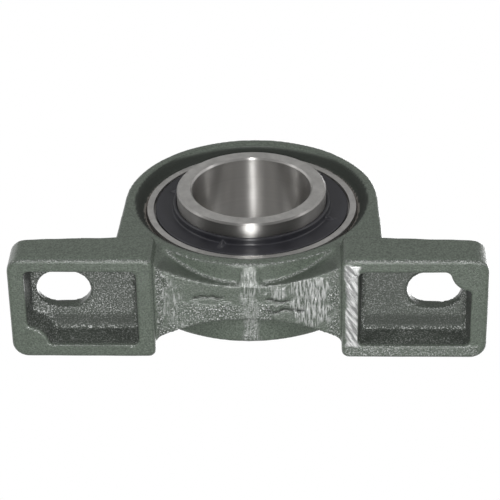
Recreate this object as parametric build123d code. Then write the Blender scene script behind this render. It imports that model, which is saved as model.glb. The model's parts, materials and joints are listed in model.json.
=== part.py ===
"""Pillow block bearing: a cast housing on two pocketed feet, carrying a self-aligning ball bearing insert.

Frame: the origin is the bearing centre on the shaft axis. The shaft runs along Y, the base is long in X
and +Z is up. The short end of the inner ring faces -Y and its set-screw end faces +Y. Lengths are in mm.
"""
import os
from math import cos, radians, sin, sqrt, tan

from build123d import *

# ---------------------------------------------------------------- driving dimensions: insert bearing
SHAFT_D = 55.0          # shaft and inner ring bore
SPHERE_D = 100.0        # spherical outside of the outer ring
OUTER_WIDTH = 25.0      # outer ring width
INNER_LENGTH = 55.6     # inner ring length
INNER_SHORT = 22.2      # bearing centre to the short end of the inner ring
RING_CHAMFER = 0.8      # chamfer on the inner ring's edges
BALL_D = 14.2875        # 9/16 inch balls
BALL_COUNT = 10
GROOVE_RATIO = 0.52     # raceway groove radius as a share of the ball diameter
BALL_GAP = 0.05         # ball to raceway at rest
FACE_LAND = 2.9         # flat annulus left on each face of the outer ring
SEAL_RECESS = 3.9       # depth of the seal recess from the outer ring's face

# ---------------------------------------------------------------- driving dimensions: cage
CAGE_SHEET = 1.1        # pressed sheet thickness
CAGE_WIDTH = 5.5        # radial width of the cage's ribbon
CAGE_SIDE_GAP = 1.5     # ribbon to the ring shoulders
POCKET_GAP = 0.12       # ball to cage pocket
RIVET_D = 2.0
RIVET_HEAD_D = 3.8
RIVET_HEAD_H = 0.7

# ---------------------------------------------------------------- driving dimensions: seals, slingers
SEAL_SHEET = 0.8        # steel case of a seal
SEAL_RIM = 1.6          # height of the case's turned rim
SEAL_RUBBER = 1.1       # rubber thickness
SEAL_OVERLAP = 2.4      # rubber from the inner ring to the case, and again as far over the case
SEAL_LIP_GAP = 0.05     # lip to the inner ring
SLINGER_SHEET = 1.1     # pressed slinger thickness
SLINGER_COLLAR = 1.9    # radial thickness of the slinger's collar
SLINGER_REACH = 3.2     # how far the collar stands out past the flange
SLINGER_GAP = 0.9       # slinger rim to the outer ring's land
SLINGER_DARTS = 4       # stiffening darts pressed across the fold
DART_LENGTH = 5.2
DART_R = 0.9
DART_TURN = -19.0       # degrees from +X to the first dart

# ---------------------------------------------------------------- driving dimensions: set screws
SCREW_D = 10.0
SCREW_LENGTH = 9.0
SCREW_SOCKET_AF = 5.0
SCREW_SOCKET_DEPTH = 4.5
SCREW_ANGLES = (90.0, -30.0)
SCREW_GAP = 0.05        # screw to its hole, all round
SCREW_CHAMFER = 0.8
SCREW_CUP_D = 5.0       # hollow cup of the screw's point
SCREW_CUP_DEPTH = 1.7

# ---------------------------------------------------------------- driving dimensions: housing
SHAFT_HEIGHT = 63.5     # base plane to shaft axis
BASE_LENGTH = 212.0
BASE_WIDTH = 51.0
BASE_SHIFT = 4.5        # the casting's middle plane lies behind the bearing centre
BODY_WIDTH = 41.0       # width of the barrel along the shaft
BODY_WALL = 8.4         # barrel outside over the spherical seat
FLANK_LEAN = 2.5        # degrees that the body's flanks lean out towards the feet
FLANK_ROOT = 3.0        # how far the flanks run down inside the feet
SEAT_WIDTH = 22.0       # machined spherical seat
SEAT_GAP = 0.05         # outer ring to seat
ENTRY_STEP = 2.8        # mouth of the barrel over the sphere radius
ENTRY_TAPER = 2.2       # how much the mouth narrows on its way to the seat
LOADING_WIDTH = 26.5    # loading slots through which the insert goes in edge on
FOOT_INNER_X = 41.7     # shaft axis to the inner end of a foot
FOOT_END_HEIGHT = 17.8  # foot height at its outer end
FOOT_SLOPE = 2.8        # degrees that the foot rises towards the body
FOOT_DRAFT = 0.5        # casting draft of the foot's walls
CORNER_R = 7.0          # outer plan corners of a foot
INNER_CORNER_R = 3.0    # inner plan corners of a foot
FOOT_EDGE_R = 0.9       # rounded top edges of a foot
SOLE_EDGE_R = 1.6       # rounded edges where a foot stands on its base
POCKET_END_WALL = 7.2   # pocket to the foot's outer end
POCKET_INNER_WALL = 7.2
POCKET_SIDE_WALL = 6.4
POCKET_DEPTH = 12.8
POCKET_DRAFT = 7.0
POCKET_CORNER_R = 2.5
POCKET_FLOOR_R = 1.4    # rounding between a pocket's walls and its floor
PAD_R = 9.3             # dowel pad that fills one corner of each pocket
PAD_BLEND_R = 2.5
SLOT_FROM_END = 23.0    # slot centre to the foot's outer end
SLOT_LENGTH = 24.4
SLOT_WIDTH = 18.0
SLOT_CHAMFER = 0.6      # broken edge where a slot opens in its pocket
SLOT_SHIFT = -2.4       # slot centre from the casting's middle plane
WEB_CLEARANCE = 3.5     # underside of the web above the base plane
WEB_WAIST = 17.2        # web width under the bearing
WEB_REAR_STEP = 2.6     # web's ends inside the body's rear face; in front they are flush
WEB_DRAFT = 5.0
WEB_ROOT_R = 4.0        # web's rear face into the feet
GATE_PAD_X = 1.1        # cast pad between web and barrel, off the middle
GATE_PAD_WIDTH = 8.2    # at its root
GATE_PAD_TIP = 6.8      # at its tip
GATE_PAD_REACH = 8.6
GATE_PAD_FLARE_R = 3.0  # its sides into the web's front face
GATE_PAD_TIP_R = 2.0    # rounded corners of its tip
GATE_PAD_STEP = 0.2     # its face above the web's underside
GATE_PAD_STAND = 0.4    # its tip out from the barrel
MOUTH_CHAMFER = 0.6     # broken edge of the barrel's mouths
EDGE_R = 0.8            # rounded edges of the barrel

# ---------------------------------------------------------------- driving dimensions: lubrication
GREASE_ANGLE = 45.0     # degrees from +Z towards +X
GREASE_DUCT_D = 3.0
GREASE_GROOVE_DEPTH = 1.0
GREASE_GROOVE_WIDTH = 4.0
RING_GREASE_D = 2.2
BOSS_D = 14.0
BOSS_HEIGHT = 1.8
BOSS_DRAFT = 8.0
NIPPLE_THREAD_D = 6.0
NIPPLE_THREAD_LENGTH = 5.0
NIPPLE_HEX_AF = 7.0
NIPPLE_HEX_HEIGHT = 3.0
NIPPLE_HEAD_D = 6.4
NIPPLE_NECK_D = 4.6
NIPPLE_NECK_HEIGHT = 1.4
NIPPLE_FLARE_HEIGHT = 1.2   # cone from the neck out to the head
NIPPLE_BAND_HEIGHT = 1.0    # full width of the head
NIPPLE_CROWN_HEIGHT = 2.4   # cone from the head in to the mouth
NIPPLE_CROWN_D = 2.7
NIPPLE_MOUTH_D = 1.5
NIPPLE_MOUTH_DEPTH = 0.5
NIPPLE_DUCT_D = 2.6
NIPPLE_CRIMP = 0.6      # turned-in lower end that holds the spring
NIPPLE_RUNOUT = 0.5     # tapped hole past the nipple's thread
NIPPLE_BALL_D = 2.3
NIPPLE_BALL_GAP = 0.1   # check ball to the corner of its mouth, closed
NIPPLE_TRAVEL = 0.6     # how far the check ball is pushed in
SPRING_WIRE_D = 0.35
SPRING_TURNS = 4
SPRING_GAP = 0.1        # coil to the duct's wall

# ---------------------------------------------------------------- allowances
OVERCUT = 1.0           # how far a cutting or joining block runs past the face it meets
SAME_PLACE = 0.01       # points nearer to each other than this are one corner

# ---------------------------------------------------------------- derived sizes
SHAFT_R = SHAFT_D / 2
SPHERE_R = SPHERE_D / 2
BALL_R = BALL_D / 2
PITCH_R = (SHAFT_R + SPHERE_R) / 2
GROOVE_R = GROOVE_RATIO * BALL_D
CAGE_IN_R = PITCH_R - CAGE_WIDTH / 2
CAGE_OUT_R = PITCH_R + CAGE_WIDTH / 2
INNER_R = CAGE_IN_R - CAGE_SIDE_GAP
SHOULDER_R = CAGE_OUT_R + CAGE_SIDE_GAP
OUTER_HALF = OUTER_WIDTH / 2
FACE_R = sqrt(SPHERE_R**2 - OUTER_HALF**2)
RECESS_R = FACE_R - FACE_LAND
RECESS_Y = OUTER_HALF - SEAL_RECESS
INNER_LONG = INNER_LENGTH - INNER_SHORT
POCKET_R = BALL_R + POCKET_GAP
COLLAR_Y = OUTER_HALF + SLINGER_REACH
SCREW_Y = (COLLAR_Y + INNER_LONG) / 2
BODY_R = SPHERE_R + BODY_WALL
BODY_FRONT = BASE_SHIFT - BODY_WIDTH / 2
BODY_REAR = BASE_SHIFT + BODY_WIDTH / 2
MOUTH_R = SPHERE_R + ENTRY_STEP
SEAT_HALF = SEAT_WIDTH / 2
SEAT_R = SPHERE_R + SEAT_GAP
BASE_Z = -SHAFT_HEIGHT
FOOT_OUTER_X = BASE_LENGTH / 2
FOOT_TOP_Z = BASE_Z + FOOT_END_HEIGHT
POCKET_FLOOR_Z = BASE_Z + POCKET_DEPTH
BOLT_SPACING = BASE_LENGTH - 2 * SLOT_FROM_END
SLOT_Y = BASE_SHIFT + SLOT_SHIFT
WEB_END = BODY_WIDTH - WEB_REAR_STEP
WEB_Y = BASE_SHIFT - WEB_REAR_STEP / 2
WEB_Z = BASE_Z + WEB_CLEARANCE
ROOT_Z = -sqrt(BODY_R**2 - FOOT_INNER_X**2)
GREASE_Y = (GROOVE_R + RECESS_Y) / 2
NIPPLE_NECK_TOP = NIPPLE_HEX_HEIGHT + NIPPLE_NECK_HEIGHT
NIPPLE_BAND_LOW = NIPPLE_NECK_TOP + NIPPLE_FLARE_HEIGHT
NIPPLE_BAND_TOP = NIPPLE_BAND_LOW + NIPPLE_BAND_HEIGHT
NIPPLE_HEIGHT = NIPPLE_BAND_TOP + NIPPLE_CROWN_HEIGHT
NIPPLE_BALL_H = NIPPLE_HEIGHT - NIPPLE_MOUTH_DEPTH - NIPPLE_BALL_GAP - NIPPLE_BALL_D / 2
NIPPLE_CRIMP_TOP = NIPPLE_CRIMP - NIPPLE_THREAD_LENGTH
BIG = 4 * BASE_LENGTH


def turned(outline):
    """Solid turned about the shaft axis from a closed outline in (radius, y)."""
    return revolve(make_face(outline), Axis.Y)


def turned_points(points):
    """Solid turned about the shaft axis from corner points in (radius, y)."""
    return turned(Polyline(*points, close=True))


def round_shaft(radius, y_low, y_high):
    """Plain cylinder on the shaft axis between two planes of constant y."""
    return turned_points([(0, y_low), (radius, y_low), (radius, y_high), (0, y_high)])


def around_axis(radius, angle, y=0.0):
    """Place at a radius and an angle from +X in the XZ plane, its local Z pointing out from the shaft."""
    out = Vector(cos(radians(angle)), 0, sin(radians(angle)))
    return Plane(origin=out * radius + Vector(0, y, 0), x_dir=(0, 1, 0), z_dir=out)


# ---------------------------------------------------------------- housing
def foot_blank():
    """Right foot without its pocket: drafted prism under a sloping top, with rounded corners and edges."""
    middle_x = (FOOT_INNER_X + FOOT_OUTER_X) / 2
    plan = Rectangle(FOOT_OUTER_X - FOOT_INNER_X, BASE_WIDTH)
    plan = fillet(plan.vertices().group_by(Axis.X)[-1], CORNER_R)
    plan = fillet(plan.vertices().group_by(Axis.X)[0], INNER_CORNER_R)
    tall = 2 * FOOT_END_HEIGHT
    prism = extrude(Pos(middle_x, BASE_SHIFT, BASE_Z) * plan, tall, taper=-FOOT_DRAFT)
    slope = tan(radians(FOOT_SLOPE))
    ends_x = (FOOT_INNER_X - tall, FOOT_OUTER_X + tall)
    top_line = [(x, FOOT_TOP_Z + (FOOT_OUTER_X - x) * slope) for x in ends_x]
    side = Polyline((ends_x[0], BASE_Z - OVERCUT), *top_line, (ends_x[1], BASE_Z - OVERCUT), close=True)
    under_top = extrude(Plane.XZ * make_face(side), BIG / 2, both=True)
    foot = prism & under_top
    top = foot.faces().sort_by(Axis.Z)[-1]
    foot = fillet(top.edges(), FOOT_EDGE_R)
    sole = foot.faces().sort_by(Axis.Z)[0]
    return fillet(sole.edges(), SOLE_EDGE_R)


def foot_pocket(pad_side):
    """Cored hollow under the right foot, less the dowel pad in its outer corner at pad_side."""
    x_in = FOOT_INNER_X + POCKET_INNER_WALL
    x_out = FOOT_OUTER_X - POCKET_END_WALL
    width = BASE_WIDTH - 2 * POCKET_SIDE_WALL
    plan = Pos((x_in + x_out) / 2, BASE_SHIFT) * Rectangle(x_out - x_in, width)
    plan -= Pos(x_out, BASE_SHIFT + pad_side * width / 2) * Circle(PAD_R)
    pad_corners = plan.vertices().sort_by_distance((x_out, BASE_SHIFT + pad_side * width / 2))[:2]
    plan = fillet(pad_corners, PAD_BLEND_R)
    square_corners = plan.vertices().filter_by(lambda v: is_square_corner(v, x_in, x_out, width))
    plan = fillet(square_corners, POCKET_CORNER_R)
    hollow = extrude(Pos(0, 0, BASE_Z) * plan, POCKET_DEPTH, taper=POCKET_DRAFT)
    return fillet(hollow.faces().sort_by(Axis.Z)[-1].edges(), POCKET_FLOOR_R)


def is_square_corner(vertex, x_in, x_out, width):
    """True for a corner of the pocket's plan rectangle."""
    off_x = min(abs(vertex.X - x_in), abs(vertex.X - x_out))
    off_y = abs(abs(vertex.Y - BASE_SHIFT) - width / 2)
    return off_x + off_y < SAME_PLACE


def bolt_slot():
    """Obround slot through the right foot's top plate, with a broken edge in the pocket."""
    slot = SlotOverall(SLOT_LENGTH, SLOT_WIDTH)
    through = extrude(Pos(BOLT_SPACING / 2, SLOT_Y, BASE_Z) * slot, 2 * FOOT_END_HEIGHT)
    rim = SlotOverall(SLOT_LENGTH + 2 * SLOT_CHAMFER, SLOT_WIDTH + 2 * SLOT_CHAMFER)
    rim = Pos(BOLT_SPACING / 2, SLOT_Y, POCKET_FLOOR_Z) * rim
    broken_edge = extrude(rim, SLOT_CHAMFER, taper=45) + extrude(rim, -OVERCUT)
    return through + broken_edge


def on_side(side, right):
    """The right-hand shape, or its mirror image for the left side."""
    return right if side > 0 else mirror(right, Plane.YZ)


def flank_outline(side):
    """Front outline of the wall that carries the barrel down into one foot, tangent to the barrel."""
    lean = radians(FLANK_LEAN)
    low = FOOT_TOP_Z - FOOT_EDGE_R - FLANK_ROOT
    points = [
        (FOOT_INNER_X, 0), (BODY_R * cos(lean), BODY_R * sin(lean)),
        ((BODY_R - low * sin(lean)) / cos(lean), low), (FOOT_INNER_X, low),
    ]
    return make_face(Polyline(*[(side * x, z) for x, z in points], close=True))


def body():
    """Barrel and both flanks as one slab along the shaft, with its outer rims rounded."""
    outline = Circle(BODY_R) + flank_outline(-1) + flank_outline(1)
    for side in (-1, 1):
        root = outline.vertices().sort_by_distance((side * FOOT_INNER_X, ROOT_Z))[0]
        outline = fillet(root, FLANK_ROOT)
    slab = extrude(Plane.XZ.offset(-BODY_REAR) * outline, BODY_WIDTH)
    ends = slab.faces().filter_by(Axis.Y)
    return fillet(ends.edges(), EDGE_R)


def web_plan(height):
    """Hourglass outline of the web at a height over its underside, its rear roots rounded."""
    widening = height * tan(radians(WEB_DRAFT))
    end_x = FOOT_INNER_X - height * tan(radians(FOOT_DRAFT))
    end_y = WEB_END / 2 + widening
    waist_y = WEB_WAIST / 2 + widening
    in_foot = [(end_x + OVERCUT, -end_y), (end_x + OVERCUT, end_y + WEB_ROOT_R), (end_x, end_y + WEB_ROOT_R)]
    front = ThreePointArc((-end_x, -end_y), (0, -waist_y), (end_x, -end_y))
    right = Polyline((end_x, -end_y), *in_foot, (end_x, end_y))
    rear = ThreePointArc((end_x, end_y), (0, waist_y), (-end_x, end_y))
    left = Polyline((-end_x, -end_y), *[(-x, y) for x, y in in_foot], (-end_x, end_y))
    plan = make_face(front + right + rear + left)
    corners = [plan.vertices().sort_by_distance((side * end_x, end_y))[0] for side in (-1, 1)]
    return fillet(corners, WEB_ROOT_R)


def web():
    """Web that ties the feet together under the barrel, flush with the body's front."""
    height = ROOT_Z - WEB_Z + OVERCUT
    block = loft([Pos(0, WEB_Y, WEB_Z) * web_plan(0), Pos(0, WEB_Y, WEB_Z + height) * web_plan(height)])
    return block & Pos(0, BASE_SHIFT, 0) * Box(BASE_LENGTH, BODY_WIDTH, BASE_LENGTH)


def gate_pad():
    """Cast pad that flares out of the web's front face and runs out over the barrel."""
    root_y = WEB_Y - WEB_WAIST / 2
    tip_y = root_y - GATE_PAD_REACH
    top_z = BODY_WALL / 2 - BODY_R
    inside_y = root_y + OVERCUT
    tongue = Polyline(
        (-GATE_PAD_WIDTH / 2, inside_y), (GATE_PAD_WIDTH / 2, inside_y),
        (GATE_PAD_TIP / 2, tip_y), (-GATE_PAD_TIP / 2, tip_y), close=True,
    )
    span = GATE_PAD_WIDTH + 3 * GATE_PAD_FLARE_R
    plan = make_face(tongue) + Pos(0, (root_y + inside_y) / 2) * Rectangle(span, OVERCUT)
    plan = fillet(plan.vertices().group_by(Axis.Y)[0], GATE_PAD_TIP_R)
    roots = plan.vertices().sort_by_distance((0, root_y))[:2]
    plan = fillet(roots, GATE_PAD_FLARE_R)
    low_line = [(inside_y, WEB_Z + GATE_PAD_STEP), (tip_y, -BODY_R - GATE_PAD_STAND)]
    side = Polyline(*low_line, (tip_y, top_z), (inside_y, top_z), close=True)
    block = extrude(Pos(GATE_PAD_X, 0, WEB_Z) * plan, top_z - WEB_Z)
    return block & extrude(Plane.YZ * make_face(side), span, both=True)


def bore_space():
    """Air inside the barrel: tapered mouths, the spherical seat and its grease groove."""
    seat_edge = sqrt(SEAT_R**2 - SEAT_HALF**2)
    throat_r = MOUTH_R - ENTRY_TAPER
    flare_r = MOUTH_R + MOUTH_CHAMFER
    front = Polyline(
        (0, BODY_FRONT - OVERCUT), (flare_r, BODY_FRONT - OVERCUT), (flare_r, BODY_FRONT),
        (MOUTH_R, BODY_FRONT + MOUTH_CHAMFER), (throat_r, -SEAT_HALF), (seat_edge, -SEAT_HALF),
    )
    seat = ThreePointArc((seat_edge, -SEAT_HALF), (SEAT_R, 0), (seat_edge, SEAT_HALF))
    rear = Polyline(
        (seat_edge, SEAT_HALF), (throat_r, SEAT_HALF), (MOUTH_R, BODY_REAR - MOUTH_CHAMFER),
        (flare_r, BODY_REAR), (flare_r, BODY_REAR + OVERCUT), (0, BODY_REAR + OVERCUT),
    )
    space = turned(front + seat + rear + Line(rear @ 1, front @ 0))
    groove_r = SPHERE_R + GREASE_GROOVE_DEPTH
    groove_low = GREASE_Y - GREASE_GROOVE_WIDTH / 2
    groove = round_shaft(groove_r, groove_low, groove_low + GREASE_GROOVE_WIDTH)
    return space + groove + loading_slots()


def loading_slots():
    """Pair of slots from the rear mouth to the seat's middle, as deep as the sphere."""
    cylinder = round_shaft(SEAT_R, 0, BODY_REAR)
    return cylinder & Pos(0, BODY_REAR / 2, 0) * Box(BIG, BODY_REAR, LOADING_WIDTH)


def grease_boss():
    """Spot-faced boss for the grease nipple."""
    place = around_axis(BODY_R - BODY_WALL / 2, 90 - GREASE_ANGLE, GREASE_Y)
    return extrude(place * Circle(BOSS_D / 2), BODY_WALL / 2 + BOSS_HEIGHT, taper=BOSS_DRAFT)


def grease_hole():
    """Tapped hole for the nipple and the duct on to the seat's groove."""
    place = around_axis(BODY_R + BOSS_HEIGHT, 90 - GREASE_ANGLE, GREASE_Y)
    tapped = extrude(place * Circle(NIPPLE_THREAD_D / 2), -NIPPLE_THREAD_LENGTH - NIPPLE_RUNOUT)
    duct = extrude(place * Circle(GREASE_DUCT_D / 2), -BODY_WALL - BOSS_HEIGHT)
    return tapped + duct


def housing():
    """The one-piece casting: body, feet and web, cored, bored, slotted and drilled."""
    cast = body() + on_side(-1, foot_blank()) + on_side(1, foot_blank()) + web() + gate_pad() + grease_boss()
    cast -= bore_space() + grease_hole()
    for side in (-1, 1):
        cast -= on_side(side, foot_pocket(-side))
        cast -= on_side(side, bolt_slot())
    return cast


# ---------------------------------------------------------------- rings and balls
def raceway(bottom_r, outward):
    """Torus that cuts a raceway groove whose bottom lies at bottom_r."""
    centre_r = bottom_r - outward * GROOVE_R
    return Rot(90, 0, 0) * Torus(centre_r, GROOVE_R)


def outer_ring():
    """Ring with a spherical outside, raceway, seal recesses and two grease holes."""
    outside = ThreePointArc((FACE_R, -OUTER_HALF), (SPHERE_R, 0), (FACE_R, OUTER_HALF))
    inside = Polyline(
        (FACE_R, OUTER_HALF), (RECESS_R, OUTER_HALF), (RECESS_R, RECESS_Y), (SHOULDER_R, RECESS_Y),
        (SHOULDER_R, -RECESS_Y), (RECESS_R, -RECESS_Y), (RECESS_R, -OUTER_HALF), (FACE_R, -OUTER_HALF),
    )
    ring = turned(outside + inside) - raceway(PITCH_R + BALL_R + BALL_GAP, 1)
    for angle in (90 - GREASE_ANGLE, 270 - GREASE_ANGLE):
        inside = around_axis(SHOULDER_R - OVERCUT, angle, GREASE_Y)
        ring -= extrude(inside * Circle(RING_GREASE_D / 2), SPHERE_R)
    return ring


def inner_ring():
    """Wide ring, longer on the rear side, with two tapped holes for its set screws."""
    ends = (-INNER_SHORT, INNER_LONG)
    ring = turned_points([(SHAFT_R, ends[0]), (INNER_R, ends[0]), (INNER_R, ends[1]), (SHAFT_R, ends[1])])
    ring = chamfer(ring.edges().filter_by(GeomType.CIRCLE), RING_CHAMFER)
    ring -= raceway(PITCH_R - BALL_R - BALL_GAP, -1)
    for angle in SCREW_ANGLES:
        place = around_axis(SHAFT_R / 2, angle, SCREW_Y)
        ring -= extrude(place * Circle(SCREW_D / 2 + SCREW_GAP), 2 * INNER_R)
    return ring


def ball_angle(index):
    """Angle of a ball from +X in the XZ plane."""
    return 90 + index * 360 / BALL_COUNT


def ball_place(index):
    """Place of a ball on the pitch circle."""
    return around_axis(PITCH_R, ball_angle(index))


def ball(index):
    """One bearing ball on the pitch circle."""
    return ball_place(index) * Sphere(BALL_R)


# ---------------------------------------------------------------- cage
def cage_cup(side):
    """Round cup of a cage half over the ball at +X, trimmed to the cage's band."""
    cup_r = POCKET_R + CAGE_SHEET
    low, high = sorted((0, side * 2 * cup_r))
    band_space = round_shaft(CAGE_OUT_R, low, high) - round_shaft(CAGE_IN_R, low, high)
    shell = Sphere(cup_r) - Sphere(POCKET_R)
    return (Pos(PITCH_R, 0, 0) * shell) & band_space


def cage_half(side):
    """Pressed ribbon half: a flat band with a round cup over every ball, drilled for the rivets."""
    low, high = sorted((0, side * CAGE_SHEET))
    band = round_shaft(CAGE_OUT_R, low, high) - round_shaft(CAGE_IN_R, low, high)
    cup = cage_cup(side)
    for index in range(BALL_COUNT):
        band -= ball_place(index) * Sphere(POCKET_R)
        band -= round_bar(RIVET_D / 2, rivet_angle(index), -CAGE_SHEET, CAGE_SHEET)
    for index in range(BALL_COUNT):
        band += Rot(0, -ball_angle(index), 0) * cup
    return band


def rivet_angle(index):
    """Angle of a rivet, midway between two balls."""
    return ball_angle(index + 0.5)


def round_bar(radius, angle, y_low, y_high):
    """Cylinder parallel to the shaft, on the pitch circle at an angle."""
    x, z = PITCH_R * cos(radians(angle)), PITCH_R * sin(radians(angle))
    disc = Pos(x, y_low, z) * Rot(-90, 0, 0) * Circle(radius)
    return extrude(disc, y_high - y_low, dir=(0, 1, 0))


def cage_rivets():
    """All rivets of the cage: a shank with a flat head outside each half."""
    rivets = []
    for index in range(BALL_COUNT):
        angle = rivet_angle(index)
        shank = round_bar(RIVET_D / 2, angle, -CAGE_SHEET - RIVET_HEAD_H, CAGE_SHEET + RIVET_HEAD_H)
        front = round_bar(RIVET_HEAD_D / 2, angle, -CAGE_SHEET - RIVET_HEAD_H, -CAGE_SHEET)
        rear = round_bar(RIVET_HEAD_D / 2, angle, CAGE_SHEET, CAGE_SHEET + RIVET_HEAD_H)
        rivets.append(shank + front + rear)
    return Compound(rivets)


# ---------------------------------------------------------------- seals and slingers
def seal_case(side):
    """Steel case of a seal: a disc with a turned rim that snaps into the outer ring."""
    y0 = RECESS_Y
    disc_in = INNER_R + SEAL_OVERLAP
    points = [
        (RECESS_R, y0), (RECESS_R, y0 + SEAL_RIM), (RECESS_R - SEAL_SHEET, y0 + SEAL_RIM),
        (RECESS_R - SEAL_SHEET, y0 + SEAL_SHEET), (disc_in, y0 + SEAL_SHEET), (disc_in, y0),
    ]
    return turned_points([(r, side * y) for r, y in points])


def seal_lip(side):
    """Rubber washer on the case's outer face, with a lip that reaches the inner ring."""
    y0 = RECESS_Y + SEAL_SHEET
    lip_r = INNER_R + SEAL_LIP_GAP
    case_r = INNER_R + SEAL_OVERLAP
    lap_r = INNER_R + 2 * SEAL_OVERLAP
    points = [
        (lip_r, y0 - SEAL_SHEET), (case_r, y0 - SEAL_SHEET), (case_r, y0), (lap_r, y0),
        (lap_r, y0 + SEAL_RUBBER / 2), (case_r, y0 + SEAL_RUBBER), (lip_r, y0),
    ]
    return turned_points([(r, side * y) for r, y in points])


def slinger(side):
    """Pressed slinger: collar on the inner ring, flange over the seal and darts across the fold."""
    flange_y = OUTER_HALF - SLINGER_SHEET
    rim_r = RECESS_R - SLINGER_GAP
    collar_r = INNER_R + SLINGER_COLLAR
    points = [
        (INNER_R, flange_y), (INNER_R, COLLAR_Y), (collar_r, COLLAR_Y), (collar_r, OUTER_HALF),
        (rim_r, OUTER_HALF), (rim_r, flange_y),
    ]
    plate = turned_points([(r, side * y) for r, y in points])
    for index in range(SLINGER_DARTS):
        angle = DART_TURN + index * 360 / SLINGER_DARTS
        plate += slinger_dart(side, angle, collar_r)
    return plate


def slinger_dart(side, angle, collar_r):
    """Round-backed dart that leans from the collar's foot down on to the flange."""
    out = around_axis(0, angle).z_dir
    start = out * collar_r + Vector(0, side * (OUTER_HALF + SLINGER_REACH / 2), 0)
    end = out * (collar_r + DART_LENGTH) + Vector(0, side * OUTER_HALF, 0)
    bar = extrude(Plane(origin=start, z_dir=end - start) * Circle(DART_R / 2), (end - start).length)
    low, high = sorted((side * (OUTER_HALF - SLINGER_SHEET / 2), side * COLLAR_Y))
    above_flange = round_shaft(RECESS_R, low, high)
    return (bar + Pos(*start) * Sphere(DART_R / 2)) & above_flange


# ---------------------------------------------------------------- set screws and nipple
def set_screw(index):
    """Cup-point grub screw, its point on the shaft surface and a hex socket in its head."""
    place = around_axis(SHAFT_R, SCREW_ANGLES[index], SCREW_Y)
    screw = extrude(place * Circle(SCREW_D / 2), SCREW_LENGTH)
    screw = chamfer(screw.edges().filter_by(GeomType.CIRCLE), SCREW_CHAMFER)
    screw -= place * Cone(SCREW_CUP_D / 2, 0, SCREW_CUP_DEPTH, align=(Align.CENTER, Align.CENTER, Align.MIN))
    socket = RegularPolygon(SCREW_SOCKET_AF / 2, 6, major_radius=False)
    top = Plane(origin=place.origin + place.z_dir * SCREW_LENGTH, x_dir=place.x_dir, z_dir=place.z_dir)
    return screw - extrude(top * socket, -SCREW_SOCKET_DEPTH)


def nipple_plane(height=0.0):
    """Plane at the boss face plus a height along the nipple, facing outwards."""
    return around_axis(BODY_R + BOSS_HEIGHT + height, 90 - GREASE_ANGLE, GREASE_Y)


def grease_nipple():
    """Hollow nipple: threaded end with a turned-in foot, hexagon, waisted neck and conical head."""
    thread_r, neck_r, head_r = NIPPLE_THREAD_D / 2, NIPPLE_NECK_D / 2, NIPPLE_HEAD_D / 2
    mouth_r, duct_r = NIPPLE_MOUTH_D / 2, NIPPLE_DUCT_D / 2
    outline = Polyline(
        (mouth_r, -NIPPLE_THREAD_LENGTH), (thread_r, -NIPPLE_THREAD_LENGTH), (thread_r, 0), (neck_r, 0),
        (neck_r, NIPPLE_NECK_TOP), (head_r, NIPPLE_BAND_LOW), (head_r, NIPPLE_BAND_TOP),
        (NIPPLE_CROWN_D / 2, NIPPLE_HEIGHT), (mouth_r, NIPPLE_HEIGHT),
        (mouth_r, NIPPLE_HEIGHT - NIPPLE_MOUTH_DEPTH), (duct_r, NIPPLE_BALL_H + NIPPLE_BALL_GAP),
        (duct_r, NIPPLE_CRIMP_TOP), (mouth_r, NIPPLE_CRIMP_TOP),
        close=True,
    )
    stem = Rot(90, 0, 0) * revolve(make_face(outline), Axis.Y)
    hexagon = extrude(RegularPolygon(NIPPLE_HEX_AF / 2, 6, major_radius=False), NIPPLE_HEX_HEIGHT)
    hexagon -= extrude(Circle(duct_r), NIPPLE_HEX_HEIGHT)
    return nipple_plane().location * (stem + hexagon)


def nipple_ball():
    """Check ball that closes the nipple's mouth."""
    return nipple_plane(NIPPLE_BALL_H).location * Sphere(NIPPLE_BALL_D / 2)


def nipple_spring():
    """Coil spring behind the check ball, drawn at the length it has with the ball pushed in."""
    low = NIPPLE_CRIMP_TOP + SPRING_WIRE_D / 2
    high = NIPPLE_BALL_H - NIPPLE_BALL_D / 2 - NIPPLE_TRAVEL - SPRING_WIRE_D / 2
    coil_r = (NIPPLE_DUCT_D - SPRING_WIRE_D) / 2 - SPRING_GAP
    path = Helix(pitch=(high - low) / SPRING_TURNS, height=high - low, radius=coil_r)
    section = Plane(origin=path @ 0, z_dir=path % 0) * Circle(SPRING_WIRE_D / 2)
    return nipple_plane(low).location * sweep(section, path)


# ---------------------------------------------------------------- writing the parts
def all_parts():
    """Every piece by its node name."""
    parts = {"housing": housing(), "outer_ring": outer_ring(), "inner_ring": inner_ring()}
    for index in range(BALL_COUNT):
        parts[f"ball_{index + 1:02d}"] = ball(index)
    for name, side in (("front", -1), ("rear", 1)):
        parts[f"cage_half_{name}"] = cage_half(side)
        parts[f"seal_case_{name}"] = seal_case(side)
        parts[f"seal_lip_{name}"] = seal_lip(side)
        parts[f"slinger_{name}"] = slinger(side)
    parts["cage_rivets"] = cage_rivets()
    parts["set_screw_1"] = set_screw(0)
    parts["set_screw_2"] = set_screw(1)
    parts["grease_nipple"] = grease_nipple()
    parts["nipple_ball"] = nipple_ball()
    parts["nipple_spring"] = nipple_spring()
    return parts


os.makedirs("parts", exist_ok=True)
for node, shape in all_parts().items():
    export_step(shape, f"parts/{node}.step")
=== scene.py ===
"""Finish of a pillow block bearing: a painted iron casting round a ground steel bearing insert.

Sizes are in millimetres and become metres in the mesh; only the stage's places are set in metres. The frame's
origin is the bearing centre, Y is the shaft and Z is up from the base. The file is laid out as an add-on and
run as a script.
"""
import json
from math import cos, pi, radians, sin

import bmesh
import bpy
import numpy as np
from bpy.props import FloatProperty, FloatVectorProperty, IntProperty, PointerProperty
from mathutils import Matrix, Vector

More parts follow.
